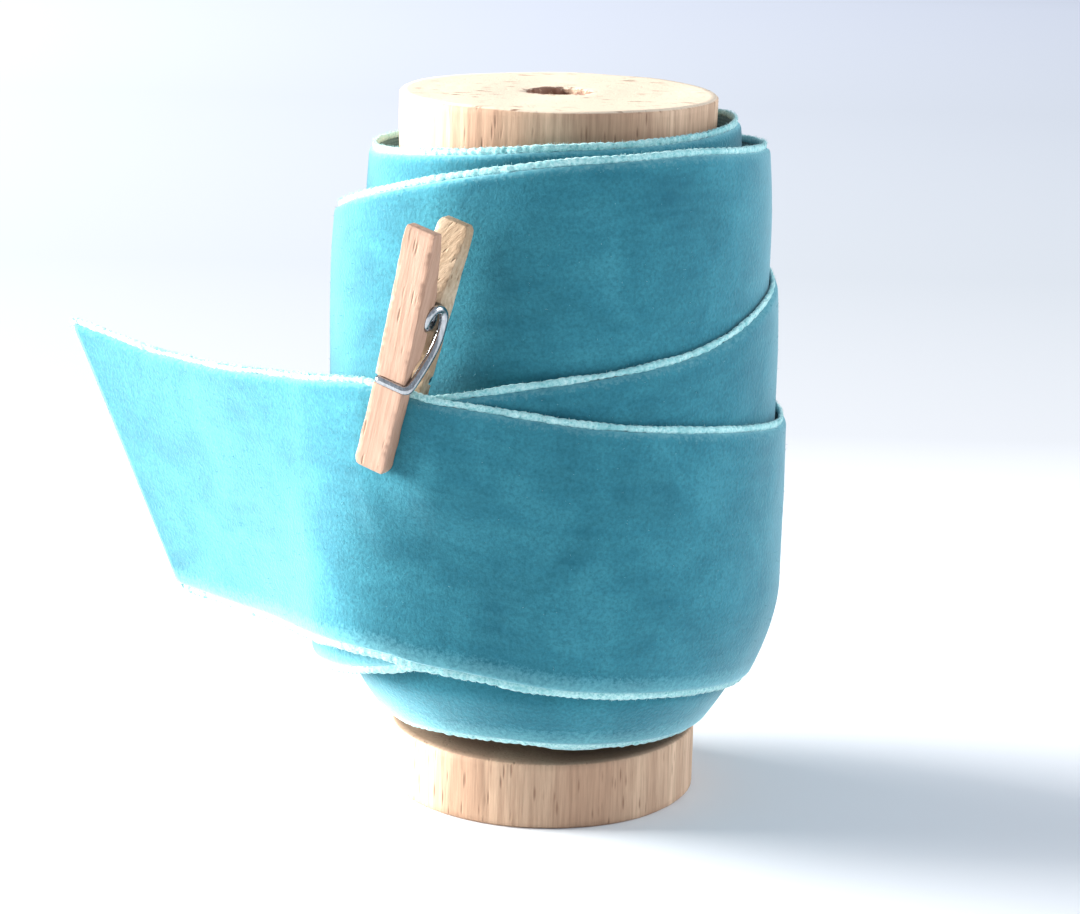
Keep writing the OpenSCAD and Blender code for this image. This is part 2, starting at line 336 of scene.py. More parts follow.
def make_spool():
    """One turned piece of beech: a profile of evenly spaced points, swept round the axis."""
    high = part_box("spool")[1]
    rim = high.x
    height = high.z
    bore = frame["record"]["mounts"][0]["dims"]["r_mm"] * MM
    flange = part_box("ribbon_winding")[0].z - 0.2 * MM
    corners = [
        (bore, 0.0), (rim - RIM_EDGE, 0.0), (rim, RIM_EDGE), (rim, flange - RIM_EDGE),
        (rim - RIM_EDGE, flange), (BARREL, flange), (BARREL, height - flange),
        (rim - RIM_EDGE, height - flange), (rim, height - flange + RIM_EDGE),
        (rim, height - RIM_EDGE), (rim - RIM_EDGE, height),
        (bore + 0.2 * MM, height), (bore, height - 0.3 * MM)]
    profile = []
    for start, end in zip(corners, corners[1:] + corners[:1]):
        count = max(2, int(math.dist(start, end) / SPOOL_SPACING))
        profile += [(start[0] + (end[0] - start[0]) * i / count,
                     start[1] + (end[1] - start[1]) * i / count) for i in range(count)]
    profile = np.array(profile)
    turn = np.linspace(0, 360, SPOOL_AROUND, endpoint=False)
    radius = np.repeat(profile[None, :, 0], SPOOL_AROUND, 0)
    z = np.repeat(profile[None, :, 1], SPOOL_AROUND, 0)
    angle = np.repeat(np.radians(turn)[:, None], len(profile), 1)
    c, s = np.cos(angle), np.sin(angle)
    # the rims are a little out of true and dented
    on_rim = smoothstep((radius - rim + 0.6 * MM) / (0.3 * MM))
    radius = radius + on_rim * 0.045 * MM * waves(c * 2.0, s * 2.0, z / (3 * MM), seed=3)
    radius = radius + on_rim * 0.02 * MM * waves(c * 30.0, s * 30.0, z / (9 * MM), seed=5)
    # the tool has left fine rings on the end faces
    on_top = smoothstep((z - height + 0.1 * MM) / (0.05 * MM))
    z = z + on_top * 0.012 * MM * np.sin(radius / (0.42 * MM) * 2 * math.pi)
    z = z + on_top * 0.05 * MM * waves(c * radius / (6 * MM), s * radius / (6 * MM), seed=11)
    # the drill has torn the mouth of the bore
    mouth = np.exp(-((radius - bore) / (0.55 * MM)) ** 2)
    mouth = mouth * smoothstep((z - height + 1.6 * MM) / (1.4 * MM))
    tear = 0.6 * waves(c * 2.2, s * 2.2, seed=19, low=0.8, high=2.0)
    tear = np.clip(tear + 0.5 * waves(c * 9.0, s * 9.0, seed=20, low=0.8, high=2.5), 0, 2)
    z = z - mouth * tear * 0.30 * MM
    radius = radius + mouth * tear * 0.22 * MM
    points = np.stack([radius * np.sin(angle), -radius * np.cos(angle), z], -1).reshape(-1, 3)
    columns = len(profile)
    here = np.arange(SPOOL_AROUND)[:, None] * columns
    there = ((np.arange(SPOOL_AROUND) + 1) % SPOOL_AROUND)[:, None] * columns
    k = np.arange(columns)[None, :]
    m = (k + 1) % columns
    quads = np.stack([here + k, there + k, there + m, here + m], -1).reshape(-1, 4).tolist()
    wood = beech("spool_beech", (0.72, 0.51, 0.35), (0.485, 0.305, 0.200), (0.235, 0.125, 0.075),
                 bore=bore)
    spool = add_mesh("spool_turned", points, quads, [wood])
    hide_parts("spool")
    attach(spool, "spool")


# ---------------------------------------------------------------- the ribbon
# Everything here is in millimetres and degrees. The ribbon is followed from its free end inwards.
# A turn is an azimuth that keeps counting round, from TURN_START, where the free end leaves the
# winding, past OUTER_END, where the hidden winding begins, to WIND_END on the barrel. A place q is
# minus the length from TURN_START on the free end, and the degrees from TURN_START on the rest.
WIDTH = 28.5
THICK = 0.9
TURN_START = -40.0
OUTER_END = 1190.0
WIND_END = 4610.0
SEEN_PLACES = OUTER_END - TURN_START
ALL_PLACES = WIND_END - TURN_START
JAWS_TURN = -30.0
# radius of the innermost turn
INNER_RADIUS = 7.9
# below this height, and up to this turn, the jaws don't pinch the cloth
SLACK_HEIGHT = 39.5
SLACK_END = 380.0
# how far down the pull of the upper edge reaches
TOP_PULL_REACH = 8.0
# height of the slow waves in the wound cloth
WAVER = 0.07

# radius of the wound cloth, which the jaws hold off at the turns -30 and 330
turn_radius = curve_of([
    (-40, 28.55), (-34, 28.15), (-30, 28.1), (-24, 28.15), (-18, 26.7), (-12, 25.5),
    (-6, 24.8), (0, 24.45), (6, 24.35), (150, 24.35), (250, 24.3), (302, 24.5),
    (308, 25.1), (314, 26.3), (320, 27.5), (326, 27.18), (332, 27.12), (336, 27.15),
    (342, 25.6), (348, 24.4), (354, 23.6), (360, 23.2), (366, 23.1), (520, 23.05),
    (634, 22.7), (680, 21.9), (850, 21.85), (960, 20.0), (1000, 18.9), (1190, 18.6),
    (1250, 17.9), (1330, 17.6), (4610, 7.9)], TURN_START, WIND_END, 2.0)
# radius of the first turn and the start of the second, below the jaws, where nothing pinches them
slack_radius = curve_of([
    (-40, 28.7), (-36, 28.0), (-32, 27.2), (-28, 26.5), (-24, 25.9), (-18, 25.1),
    (-12, 24.5), (-6, 24.4), (0, 24.45), (6, 24.35), (150, 24.35), (250, 24.3), (300, 24.4),
    (320, 24.4), (332, 24.2), (342, 23.85), (348, 23.5), (354, 23.3), (360, 23.2), (366, 23.1),
    (4610, 23.1)], TURN_START, WIND_END, 2.0)
# radius of the hidden turns low down, where the pack is thicker
low_radius = curve_of([
    (1190, 22.0), (2070, 21.9), (2430, 20.95), (2790, 19.8), (3150, 18.4), (3510, 17.2),
    (4610, 7.9)], TURN_START, WIND_END, 20)
# height of the upper edge
turn_top = curve_of([
    (-40, 48.5), (-24, 47.4), (-12, 46.4), (0, 45.4), (40, 43.6), (80, 41.2),
    (150, 41.0), (250, 42.2), (285, 42.6), (303, 43.9), (320, 46.0), (336, 47.5), (360, 48.9),
    (400, 51.2), (432, 54.7), (520, 58.5), (634, 62.2), (660, 65.1), (692, 68.3), (720, 70.2),
    (758, 70.9), (788, 70.0), (880, 67.6), (999, 68.4), (1078, 71.1), (1150, 71.9), (1190, 71.9),
    (1260, 68.5), (1330, 66.6), (1700, 66.4), (1800, 62), (1900, 56), (1980, 50),
    (2070, 46.5), (2150, 46), (2250, 44), (2340, 40), (2460, 37.1), (2487, 37.8),
    (2506, 38.0), (2540, 37.4), (2584, 36.6), (2700, 36.4), (2800, 45), (2950, 66.4),
    (3350, 66.4), (3600, 37), (3950, 37), (4200, 66), (4610, 50)], TURN_START, WIND_END, 7.0)
# how far the lower edge pulls in, how high that reaches and how sharply it bends
low_pull = curve_of([
    (-40, 0.0), (-20, 0.2), (0, 1.3), (40, 2.5), (70, 3.1), (140, 3.0), (220, 1.0), (270, 0.0),
    (330, 0.1), (370, 0.5), (720, 0.5), (2340, 0.3), (2430, 3.7), (2700, 3.7), (2800, 1.0),
    (4610, 0.0)], TURN_START, WIND_END, 8.0)
low_reach = curve_of([
    (-40, 10.5), (2340, 10.5), (2430, 6.2), (4610, 6.2)], TURN_START, WIND_END, 8.0)
low_bend = curve_of([
    (-40, 1.7), (2340, 1.7), (2430, 1.2), (4610, 1.2)], TURN_START, WIND_END, 8.0)
# how far the upper edge pulls in
top_pull = curve_of([
    (-40, 0.0), (10, 0.2), (330, 0.0), (400, 0.3), (640, 0.5), (720, 0.5), (790, 0.6),
    (880, 0.6), (1000, 0.4), (4610, 0.2)], TURN_START, WIND_END, 8.0)
# height of the middle of the free end
tail_height = curve_of([
    (0, 34.25), (4, 33.75), (8, 33.1), (15, 32.4), (26, 31.35), (37, 30.9), (44, 31.4),
    (52, 32.1)], 0, 52, 2.0)
# The free end lies on the winding for TAIL_LIE and then curls away. Within LEAN_LENGTH it comes
# to lean back by TAIL_LEAN degrees. Its cut runs from TAIL_TOP to TAIL_BOTTOM.
TAIL_LIE = 9.5
CURL_RADIUS = 130.0
LEAN_LENGTH = 24.0
TAIL_LEAN = 10.0
TAIL_TOP = 50.5
TAIL_BOTTOM = 37.8
START_RADIUS = float(turn_radius(TURN_START))
START_STEP = float(tail_height(0.0)) + WIDTH / 2 - float(turn_top(TURN_START))


def wound_point(turn, across):
    """Middle of the cloth on the wound part; across runs from -1, the lower edge, to 1."""
    top = turn_top(turn) + START_STEP * (1 - smoothstep((turn - TURN_START) / 30.0))
    z = top - WIDTH / 2 * (1 - across)
    upper = turn_radius(turn)
    lower = low_radius(turn)
    slack = (turn < SLACK_END) * smoothstep((SLACK_HEIGHT - z) / 8.5)
    upper = upper + (slack_radius(turn) - upper) * slack
    hidden = smoothstep((turn - OUTER_END) / 40.0)
    radius = upper + (lower - upper) * hidden * smoothstep((SLACK_HEIGHT - z) / 6.0)
    near_low = np.maximum(0.0, 1.0 - (1 + across) * WIDTH / 2 / low_reach(turn))
    near_top = np.maximum(0.0, 1.0 - (1 - across) * WIDTH / 2 / TOP_PULL_REACH)
    radius = radius - low_pull(turn) * near_low ** low_bend(turn) - top_pull(turn) * near_top ** 1.5
    radius = np.maximum(radius, INNER_RADIUS)
    ripple = waves(np.radians(turn) * 1.3, z / 9.0, seed=23, count=7, low=0.6, high=2.0)
    # the jaws hold the cloth still, on the turn under them too
    calm = smoothstep((np.abs(turn - JAWS_TURN) - 14.0) / 20.0)
    calm = calm * smoothstep((np.abs(turn - JAWS_TURN - 360.0) - 14.0) / 20.0)
    radius = radius + WAVER * ripple * calm
    plan = polar(radius, turn)
    return np.stack([plan[..., 0], plan[..., 1], z], -1)


def tail_plan(length):
    """Plan point of the free end at a length from TURN_START, and the azimuth it faces."""
    lie = TURN_START - np.degrees(length / START_RADIUS)
    leave = TURN_START - math.degrees(TAIL_LIE / START_RADIUS)
    curl = np.degrees((length - TAIL_LIE) / CURL_RADIUS)
    centre = polar(np.array(START_RADIUS + CURL_RADIUS), leave)
    on_turn = polar(np.full_like(length, START_RADIUS), lie)
    on_curl = centre + polar(np.full_like(length, -CURL_RADIUS), leave + curl)
    lies = length < TAIL_LIE
    return np.where(lies[..., None], on_turn, on_curl), np.where(lies, lie, leave + curl)


def tail_point(length, across):
    """Middle of the cloth on the free end."""
    plan, way_out = tail_plan(length)
    lean = np.radians(TAIL_LEAN) * smoothstep(length / LEAN_LENGTH)
    side = polar(np.ones_like(length), way_out)
    shift = across * WIDTH / 2
    plan = plan + side * (shift * np.sin(lean))[..., None]
    z = tail_height(length) + shift * np.cos(lean)
    return np.stack([plan[..., 0], plan[..., 1], z], -1)


# Below the jaws the cloth isn't held flat: it runs on in one easy curve from the turn FREE_FROM on
# the winding to the place FREE_TO on the free end, which makes the slanting fold under the
# clothespin. Along that curve the part on the winding counts as WOUND_SHARE millimetres.
FREE_FROM = -12.0
FREE_TO = -9.0
WOUND_SHARE = 6.0
FREE_LENGTH = WOUND_SHARE - FREE_TO
START_PULL = 1.5
END_PULL = 0.8
EDGE_RISE = 0.6


def edge_rise(q, across):
    """The lower edge rises a little where it leaves the winding."""
    return EDGE_RISE * np.exp(-((q + 5.0) / 8.0) ** 2) * np.maximum(-across, 0.0)


def path_point(q, across):
    """Middle of the cloth at place q: on the free end, in the fold or on the wound part."""
    q, across = np.broadcast_arrays(np.asarray(q, float), np.asarray(across, float))
    length = np.maximum(-q, 0.0)
    turn = np.maximum(q, 0.0) + TURN_START
    point = np.where((q < 0)[..., None], tail_point(length, across), wound_point(turn, across))
    point[..., 2] += edge_rise(q, across)
    first = FREE_FROM - TURN_START
    inside = (q < first) & (q > FREE_TO)
    if not inside.any():
        return point
    v = across[inside]
    t = np.where(q[inside] < 0, (WOUND_SHARE - q[inside]) / FREE_LENGTH,
                 (first - q[inside]) / first * WOUND_SHARE / FREE_LENGTH)
    step = 0.5
    start = wound_point(np.full_like(v, FREE_FROM), v)
    start_way = unit(start - wound_point(np.full_like(v, FREE_FROM + step), v))
    end = tail_point(np.full_like(v, -FREE_TO), v)
    end_way = unit(tail_point(np.full_like(v, step - FREE_TO), v) - end)
    gap = np.linalg.norm(end - start, axis=-1, keepdims=True)
    t = t[:, None]
    free = ((2 * t ** 3 - 3 * t ** 2 + 1) * start
            + (t ** 3 - 2 * t ** 2 + t) * START_PULL * gap * start_way
            + (3 * t ** 2 - 2 * t ** 3) * end
            + (t ** 3 - t ** 2) * END_PULL * gap * end_way)
    loose = smoothstep((0.40 - v) / 0.90)[:, None]
    free[:, 2] += edge_rise(q[inside], v)
    point[inside] = point[inside] * (1 - loose) + free * loose
    return point


def outward(q, across):
    """Unit normal on the pile's side."""
    along = path_point(q + 0.25, across) - path_point(q - 0.25, across)
    upper = path_point(q, np.minimum(across + 0.02, 1.0))
    lower = path_point(q, np.maximum(across - 0.02, -1.0))
    return unit(np.cross(along, upper - lower))


def tail_length(across):
    """How far the slanting cut is from TURN_START."""
    return TAIL_BOTTOM + (TAIL_TOP - TAIL_BOTTOM) * (across + 1) / 2


def places_between(fine, medium, coarse):
    """Places q along the wound part, close together where they can be seen."""
    return np.concatenate([
        np.arange(0.0, 60.0, fine * 0.7), np.arange(60.0, SEEN_PLACES, fine),
        np.arange(SEEN_PLACES, 1800.0, medium), np.arange(1800.0, 2380.0, coarse),
        np.arange(2380.0, 2760.0, medium), np.arange(2760.0, ALL_PLACES, coarse)])


def ribbon_rows(fine, medium, coarse, tail_step, across):
    """Places q for each row and column: the rows slant gradually into the cut of the free end."""
    ratio = tail_length(across) / TAIL_TOP
    tail = np.arange(TAIL_TOP, 0.0, -tail_step)
    slant = smoothstep(tail / 20.0)[:, None]
    tail_rows = -tail[:, None] * (1 + (ratio[None, :] - 1) * slant)
    wound = np.repeat(places_between(fine, medium, coarse)[:, None], len(across), 1)
    return np.concatenate([tail_rows, wound])


def arc_length(places, across):
    """Length along the cloth from the first place to each place."""
    points = path_point(places, across)
    steps = np.linalg.norm(np.diff(points, axis=0), axis=-1)
    return np.concatenate([[0.0], np.cumsum(steps)])


def pile_body():
    """Section of the cloth between the selvedges: across, depth and the count of pile points."""
    half = WIDTH / 2 - 0.62
    front = np.sin(np.linspace(-90, 90, 51) * math.pi / 180)
    front = half * (0.55 * front + 0.45 * np.linspace(-1, 1, 51))
    shoulder = np.clip((np.abs(front) - half + 0.55) / 0.55, 0, 1)
    front_depth = -0.12 + (THICK / 2 + 0.12) * np.sqrt(1 - shoulder ** 2 * 0.96)
    back = np.linspace(half - 0.03, -half + 0.03, 15)
    back_depth = np.full(15, -THICK / 2)
    section_v = np.concatenate([front, back])
    section_d = np.concatenate([front_depth, back_depth])
    return section_v, section_d, len(front)


# material indices of the ribbon
PILE, BACK, YARN = 0, 1, 2
FIBRE_RADIUS = 0.022
FIBRE_CORNERS = (0.0, 2.094, 4.189)


def scattered(draw, count, tail_share, reach):
    """Random places q: a share on the free end, the others on the wound part up to reach."""
    on_tail = draw.random(count) < tail_share
    return np.where(on_tail, -draw.random(count) * TAIL_BOTTOM, draw.random(count) * reach)


def loose_fibres():
    """Tapered hairs that stand off the selvedges, the cut end and, sparsely, the pile."""
    draw = np.random.default_rng(7)
    # places, across, lean to the side, lean along the ribbon, material and length of each group
    groups = []
    for side, count in ((1, 5200), (-1, 3400)):
        q = scattered(draw, count, 0.16, SEEN_PLACES)
        groups.append((q, np.full(count, side * 0.985), side, 0.0, YARN, 0.40))
    v = draw.uniform(-1, 1, 900)
    groups.append((-tail_length(v) + 0.15, v, 0.0, -1.0, YARN, 0.8))
    q = scattered(draw, 2200, 0.14, 800.0)
    groups.append((q, draw.uniform(-0.96, 0.96, len(q)), 0.0, 0.0, PILE, 0.38))
    hairs, kinds = [], []
    for q, v, to_side, to_end, kind, reach in groups:
        count = len(q)
        root = path_point(q, v)
        normal = outward(q, v)
        along = unit(path_point(q + 0.3, v) - path_point(q - 0.3, v))
        up = unit(path_point(q, v + 0.01) - path_point(q, v - 0.01))
        lift = draw.normal(0.45 if kind == PILE else 0.25, 0.30, (count, 1))
        way = unit(up * (to_side + draw.normal(0, 0.35, count))[:, None] + along * to_end
                   + along * draw.normal(0, 0.5, (count, 1)) + normal * lift)
        size = reach * draw.uniform(0.5, 1.25, (count, 1))
        if kind == PILE:
            root = root + normal * (THICK / 2 - 0.06)
        across_a = unit(np.cross(way, normal + 0.31 * along))
        across_b = np.cross(way, across_a)
        corners = []
        for place, width in ((root, FIBRE_RADIUS), (root + way * size, FIBRE_RADIUS * 0.45)):
            for angle in FIBRE_CORNERS:
                spoke = math.cos(angle) * across_a + math.sin(angle) * across_b
                corners.append(place + width * spoke)
        hairs.append(np.stack(corners, 1))
        kinds.append(np.full(count, kind))
    return np.concatenate(hairs), np.concatenate(kinds)


SELVEDGE_SIDES = 10
SELVEDGE_INSET = 0.33
LOOP_LENGTH = 0.92
LOWER_SWELL = 1.4


def selvedge(side):
    """Rings of a looped yarn tube along one edge, and the length along it at each ring."""
    end = TAIL_TOP if side > 0 else TAIL_BOTTOM
    places = np.concatenate([
        -np.arange(end, 0.0, -0.17), np.arange(0.0, SEEN_PLACES, 0.42),
        np.arange(SEEN_PLACES, 1800.0, 2.5), np.arange(1800.0, 2400.0, 6.0),
        np.arange(2400.0, 2700.0, 0.5), np.arange(2700.0, ALL_PLACES, 8.0)])
    edge = side * (1 - SELVEDGE_INSET * 2 / WIDTH)
    middle = path_point(places, edge)
    way_out = unit(middle - path_point(places, edge - side * 0.06))
    pile_side = outward(places, np.full_like(places, edge))
    along = arc_length(places, edge)
    beat = math.pi * along / LOOP_LENGTH
    bump = np.abs(np.sin(beat + 1.6 * np.sin(along / 3.1) + 1.1 * np.sin(along / 1.3)))
    uneven = waves(along / 2.2, seed=60 + side, count=14, low=0.6, high=2.6)
    wide = (0.31 + 0.10 * bump + 0.05 * uneven) * (LOWER_SWELL if side < 0 else 1.0)
    thick = 0.20 + 0.06 * bump
    offset = 0.04 * waves(along / 1.2, seed=70 + side) - 0.12
    angle = np.linspace(0, 2 * math.pi, SELVEDGE_SIDES, endpoint=False)
    sideways = wide[:, None] * np.cos(angle)
    upwards = thick[:, None] * np.sin(angle) + offset[:, None]
    rings = (middle[:, None, :] + way_out[:, None, :] * sideways[..., None]
             + pile_side[:, None, :] * upwards[..., None])
    return rings, along


RIPPLE_LENGTH = 1.7
RIPPLE_HEIGHT = 0.014


def make_ribbon():
    """One strip of velvet from its cut end to the barrel, with both selvedges and loose fibres."""
    section_v, section_d, front_count = pile_body()
    across = section_v / (WIDTH / 2)
    rows = ribbon_rows(fine=1.5, medium=4.0, coarse=8.0, tail_step=0.55, across=across)
    base = path_point(rows, across[None, :])
    normal = outward(rows, np.repeat(across[None, :], len(rows), 0))
    length = arc_length(rows[:, front_count // 2], 0.0)
    ripple = waves(length[:, None] / RIPPLE_LENGTH, section_v[None, :] / RIPPLE_LENGTH, seed=31,
                   count=12, low=0.5, high=2.4)
    columns = len(section_v)
    is_front = np.arange(columns) < front_count
    depth = section_d[None, :] + np.where(is_front[None, :], RIPPLE_HEIGHT * ripple, 0.0)
    points = (base + depth[..., None] * normal).reshape(-1, 3)
    faces = tube_faces(len(rows), columns)
    quad_column = np.tile(np.arange(columns), len(rows) - 1)
    material = np.where(quad_column < front_count - 1, PILE, BACK)
    material = np.concatenate([material, [YARN, YARN]])
    lengths = np.repeat(length, columns)
    widths = np.tile(section_v, len(rows))

    for side in (-1, 1):
        rings, along = selvedge(side)
        ring_faces = tube_faces(len(along), SELVEDGE_SIDES, len(points))
        if side < 0:
            ring_faces = [face[::-1] for face in ring_faces]
        points = np.concatenate([points, rings.reshape(-1, 3)])
        faces += ring_faces
        material = np.concatenate([material, np.full(len(ring_faces), YARN)])
        lengths = np.concatenate([lengths, np.repeat(along, SELVEDGE_SIDES)])
        widths = np.concatenate([widths, np.full(len(along) * SELVEDGE_SIDES, side * WIDTH / 2)])

    hair, hair_material = loose_fibres()
    corners = np.arange(len(hair))[:, None] * 6 + len(points)
    points = np.concatenate([points, hair.reshape(-1, 3)])
    for a, b in ((0, 1), (1, 2), (2, 0)):
        faces += (corners + np.array([a, b, b + 3, a + 3])).tolist()
    faces += (corners + np.array([2, 1, 0])).tolist() + (corners + np.array([3, 4, 5])).tolist()
    material = np.concatenate([material, np.tile(hair_material, 5)])
    no_place = np.zeros(len(hair) * 6)
    lengths = np.concatenate([lengths, no_place])
    widths = np.concatenate([widths, no_place])

    ribbon = add_mesh("ribbon", points * MM, faces,
                      [velvet_pile(), velvet_back(), selvedge_yarn()], material)
    layer = ribbon.data.uv_layers.new(name="ribbon")
    corner = np.zeros(len(ribbon.data.loops), np.int32)
    ribbon.data.loops.foreach_get("vertex_index", corner)
    layer.data.foreach_set("uv", np.stack([lengths[corner], widths[corner]], -1).ravel() * MM)
    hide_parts("ribbon_winding", "ribbon_outer_turns", "ribbon_tail")
    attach(ribbon, "spool")


# ---------------------------------------------------------------- the clothespin
joints = {joint["name"]: joint for joint in frame["record"]["behaviour"]["joints"]}
COIL = Vector(joints["clip_open"]["pos_m"])
ALONG = Vector(joints["clip_lift"]["axis"]).normalized()
ACROSS = Vector(joints["clip_open"]["axis"]).normalized()
OUTWARD = ALONG.cross(ACROSS).normalized()
# Clothespin frame: X across the legs, Y away from the spool, Z towards the handles. The numbers
# below are in millimetres in that frame, whose origin is the middle of the coil.
CLIP = Matrix((ACROSS, OUTWARD, ALONG)).transposed().to_4x4()
CLIP.translation = COIL

LEG_WIDTH = 3.4
END_Z = 9.0
TIP_Z = -16.2
JAW_INNER = 1.0
JAW_END_Z = -7.2
RELIEF_Z = -5.6
RELIEF_R = 1.5
HANDLE_OUTER = 3.6
JAW_OUTER = 2.6
WIRE_D = 0.9
COIL_D = 3.0
WIRE_Z = -7.0
WIRE_Y = JAW_OUTER - 0.05
SEAT_R = COIL_D / 2 + 0.05
GROOVE_R = WIRE_D / 2 + 0.03


def leg_section(z):
    """Inner and outer distance of a leg from the middle plane at height z."""
    inner = np.interp(z, [TIP_Z, TIP_Z + 0.3, TIP_Z + 1.0, JAW_END_Z, -2.2, 2.2, END_Z],
                      [JAW_INNER + 0.35, JAW_INNER + 0.1, JAW_INNER, JAW_INNER, 0.5, 0.5, 2.35])
    inner = np.maximum(inner, np.sqrt(np.maximum(SEAT_R ** 2 - z ** 2, 0)))
    inner = np.maximum(inner, np.sqrt(np.maximum(RELIEF_R ** 2 - (z - RELIEF_Z) ** 2, 0)))
    outer = np.interp(z, [TIP_Z, TIP_Z + 0.3, TIP_Z + 1.0, WIRE_Z, END_Z - 0.4, END_Z],
                      [JAW_OUTER - 0.45, JAW_OUTER - 0.1, JAW_OUTER, JAW_OUTER, HANDLE_OUTER,
                       HANDLE_OUTER - 0.12])
    cut = WIRE_Y - np.sqrt(np.maximum(GROOVE_R ** 2 - (z - WIRE_Z) ** 2, 0))
    outer = np.where(np.abs(z - WIRE_Z) < GROOVE_R, np.minimum(outer, cut), outer)
    return inner, outer


END_ROUND = 0.09
CORNER_ROUND = 0.08


def make_leg(name, node, body, side, seed, wood):
    """A sawn leg as a stack of rounded rectangles along its length."""
    # two close rings at each edge of the groove, the jaw, the relief and the coil's seat
    notches = [WIRE_Z - GROOVE_R, WIRE_Z + GROOVE_R, JAW_END_Z, -6.72, -4.48, -1.5, 1.5]
    fine = np.concatenate([[n - 0.012, n + 0.012] for n in notches])
    ends = 0.16 * (1 - np.cos(np.linspace(0, math.pi / 2, 6)))
    z = np.unique(np.concatenate([np.arange(TIP_Z + 0.2, END_Z - 0.2, 0.12), fine,
                                  TIP_Z + ends, END_Z - ends]))
    inner, outer = leg_section(z)
    from_end = np.minimum(z - TIP_Z, END_Z - z)
    pinch = END_ROUND - np.sqrt(
        np.maximum(END_ROUND ** 2 - np.maximum(END_ROUND - from_end, 0) ** 2, 0))
    # the tip and the handle's end narrow a little
    half = LEG_WIDTH / 2 - pinch - 0.42 * np.maximum(0, 1 - (z - TIP_Z) / 1.0) ** 2
    half = half - (0.10 if side > 0 else 0.35) * np.maximum(0, 1 - (END_Z - z) / 0.8) ** 2
    half = half + 0.02 * waves(z / 2.0, seed=seed)
    inner = inner + pinch
    outer = outer - pinch
    soft = CORNER_ROUND
    spread = np.linspace(-1, 1, 7)
    corner = np.radians(np.linspace(0, 90, 4)[1:-1])
    centre_x = half - soft
    centre_y = (inner + outer) / 2
    flat_y = (outer - inner) / 2 - soft
    x_parts, y_parts, nx_parts, ny_parts = [], [], [], []

    def put(x, y, nx, ny):
        x_parts.append(x + 0 * z)
        y_parts.append(y + 0 * z)
        nx_parts.append(nx + 0 * z)
        ny_parts.append(ny + 0 * z)

    # round the section: each side, whose normal is given, and the corner after it
    for nx, ny in ((0, 1), (1, 0), (0, -1), (-1, 0)):
        for f in spread:
            put(nx * half + ny * centre_x * f,
                centre_y + ny * (flat_y + soft) - nx * flat_y * f, nx, ny)
        for c in corner:
            out_x = nx * np.cos(c) + ny * np.sin(c)
            out_y = ny * np.cos(c) - nx * np.sin(c)
            put((nx + ny) * centre_x + soft * out_x,
                centre_y + (ny - nx) * flat_y + soft * out_y, out_x, out_y)
    x, y, nx, ny = (np.stack(part, 1) for part in (x_parts, y_parts, nx_parts, ny_parts))
    # the saw leaves a rough face, and the corners are chipped
    z2 = np.repeat(z[:, None], x.shape[1], 1)
    rough = 0.016 * waves(x / 0.22, y / 0.22, z2 / 0.9, seed=seed + 1, count=12, low=0.8, high=2.4)
    chip = (np.abs(nx) > 0.1) & (np.abs(ny) > 0.1)
    rough = rough - chip * 0.02 * np.maximum(0, waves(x, y, z2 / 0.5, seed=seed + 2, count=10))
    x = x + nx * rough
    y = y + ny * rough
    points = np.stack([x, side * y, z2], -1).reshape(-1, 3)
    faces = tube_faces(len(z), x.shape[1])
    if side > 0:
        faces = [face[::-1] for face in faces]
    leg = add_mesh(name, points * MM, faces, [wood])
    leg.matrix_world = CLIP
    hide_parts(node)
    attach(leg, body)


COIL_R = (COIL_D - WIRE_D) / 2
COIL_HALF = LEG_WIDTH / 2 + WIRE_D / 2 + 0.05
COIL_START = math.radians(194)
COIL_STEPS = 170
WIRE_BEND = 0.6
WIRE_SIDES = 16


def spring_arm(side):
    """Path from one end of the coil down a leg's side and across its outer groove."""
    begin = COIL_R * np.array([0.0, side * math.cos(COIL_START), math.sin(COIL_START)])
    knots = [begin, begin + [0, -side * 0.12, -1.9], [0, -side * 0.75, -3.6],
             [0, side * WIRE_Y, WIRE_Z]]
    t = np.linspace(0, 1, 33)[1:, None]
    path = ((1 - t) ** 3 * knots[0] + 3 * (1 - t) ** 2 * t * knots[1]
            + 3 * (1 - t) * t ** 2 * knots[2] + t ** 3 * np.array(knots[3]))
    path[:, 0] = -side * COIL_HALF
    corner = path[-1]
    way = unit(path[-1] - path[-2])
    path = path[np.linalg.norm(path - corner, axis=1) > WIRE_BEND]
    across = np.array([side, 0.0, 0.0])
    for angle in np.radians(np.linspace(0, 90, 9)):
        bend = math.sin(angle) * way + (1 - math.cos(angle)) * across
        path = np.vstack([path, corner - WIRE_BEND * way + WIRE_BEND * bend])
    finish = np.array([side * (LEG_WIDTH / 2 - 0.25), side * WIRE_Y, WIRE_Z])
    last = path[-1]
    return np.vstack([path] + [last + (finish - last) * i / 8 for i in range(1, 9)])


